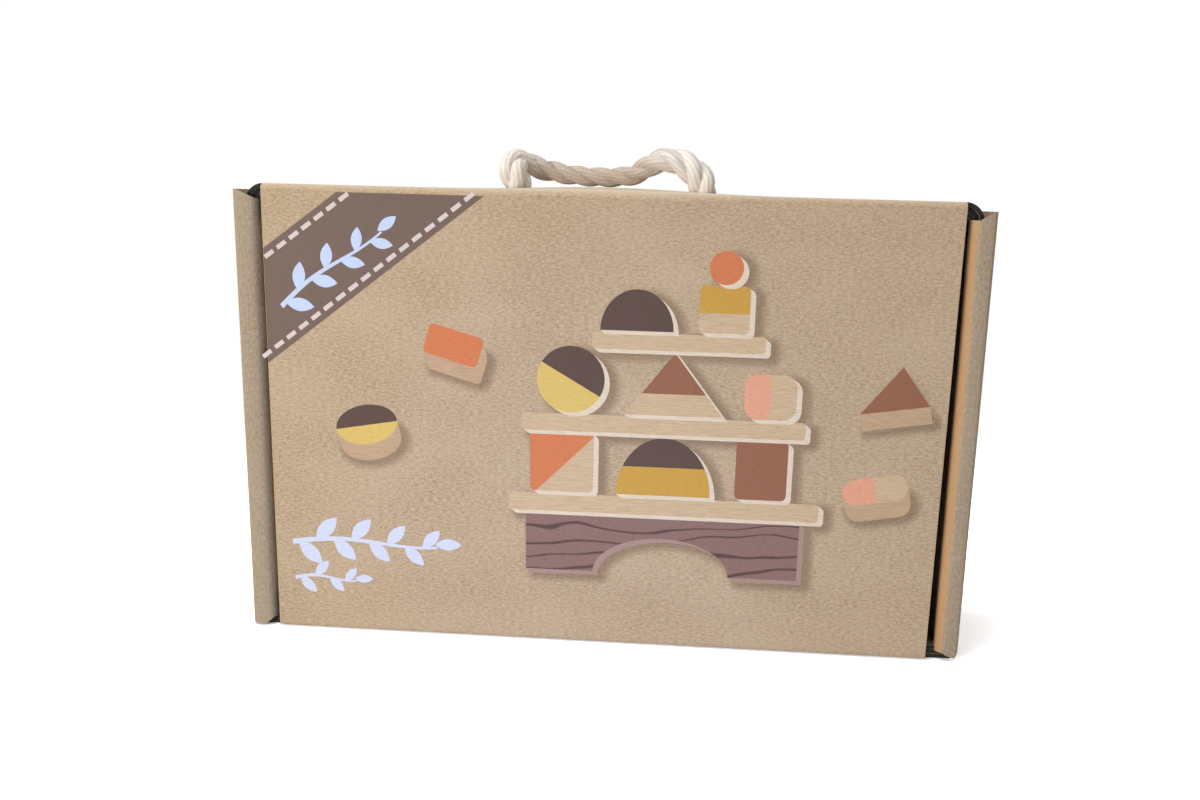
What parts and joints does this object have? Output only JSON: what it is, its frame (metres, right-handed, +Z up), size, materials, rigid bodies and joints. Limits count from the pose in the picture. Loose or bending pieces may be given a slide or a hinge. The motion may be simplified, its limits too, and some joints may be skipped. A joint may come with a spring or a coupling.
{
  "type": "boxed balance game",
  "caption": "Closed corrugated mailer carton with a rope handle and a hinged front lid, holding a wooden rocking animal and its loose stacking nuts.",
  "frame": {"origin": "centre of the carton's base, on the surface that it stands on", "axes": "+X to the right as the front is faced, +Y towards the back panel, +Z up; the lid faces -Y"},
  "size_m": [0.287, 0.056, 0.1961],
  "materials": {
    "board": "matt kraft",
    "rope": "twisted cotton",
    "beech": "oiled",
    "rocker_wood": "stained",
    "animal_wood": "oiled",
    "nut_wood": "stained"
  },
  "bodies": {
    "tray": {"back_panel": "board", "bottom_wall": "board", "corner_flap_bottom_left": "board", "corner_flap_bottom_right": "board", "corner_flap_top_left": "board", "corner_flap_top_right": "board", "nut_01": "nut_wood", "nut_02": "nut_wood", "nut_03": "nut_wood", "nut_04": "nut_wood", "nut_05": "nut_wood", "nut_06": "nut_wood", "nut_07": "nut_wood", "nut_08": "nut_wood", "nut_09": "nut_wood", "nut_10": "nut_wood", "nut_11": "nut_wood", "nut_12": "nut_wood", "side_wall_left": "board", "side_wall_right": "board", "top_wall": "board"},
    "lid": {"lid_panel": "board"},
    "tuck_flap": {"lid_tuck_flap": "board"},
    "ear_left": {"lid_ear_left": "board"},
    "ear_right": {"lid_ear_right": "board"},
    "handle": {"rope_handle": "rope", "rope_knot_left": "rope", "rope_knot_right": "rope"},
    "game": {"rocker": "rocker_wood", "animal": "animal_wood", "dowel_front": "beech", "dowel_rear": "beech"}
  },
  "joints": [
    {"name": "lid_hinge", "type": "hinge", "parent": "tray", "child": "lid", "pos_m": [0, -0.028, 0.181], "axis": [-1, 0, 0], "range_deg": [0, 180]},
    {"name": "tuck_crease", "type": "hinge", "parent": "lid", "child": "tuck_flap", "pos_m": [0, -0.0264, 0.0043], "axis": [1, 0, 0], "range_deg": [0, 20]},
    {"name": "ear_left_crease", "type": "hinge", "parent": "lid", "child": "ear_left", "pos_m": [-0.1304, -0.0264, 0.0905], "axis": [0, 0, -1], "range_deg": [0, 20]},
    {"name": "ear_right_crease", "type": "hinge", "parent": "lid", "child": "ear_right", "pos_m": [0.1304, -0.0264, 0.0905], "axis": [0, 0, 1], "range_deg": [0, 20]},
    {"name": "handle_pull", "type": "slide", "parent": "tray", "child": "handle", "axis": [0, 0, 1], "range_m": [0, 0.01]},
    {"name": "game_rock", "type": "hinge", "parent": "tray", "child": "game", "pos_m": [0, 0.0107, 0.0739], "axis": [0, 1, 0], "range_deg": [-6, 6]}
  ]
}
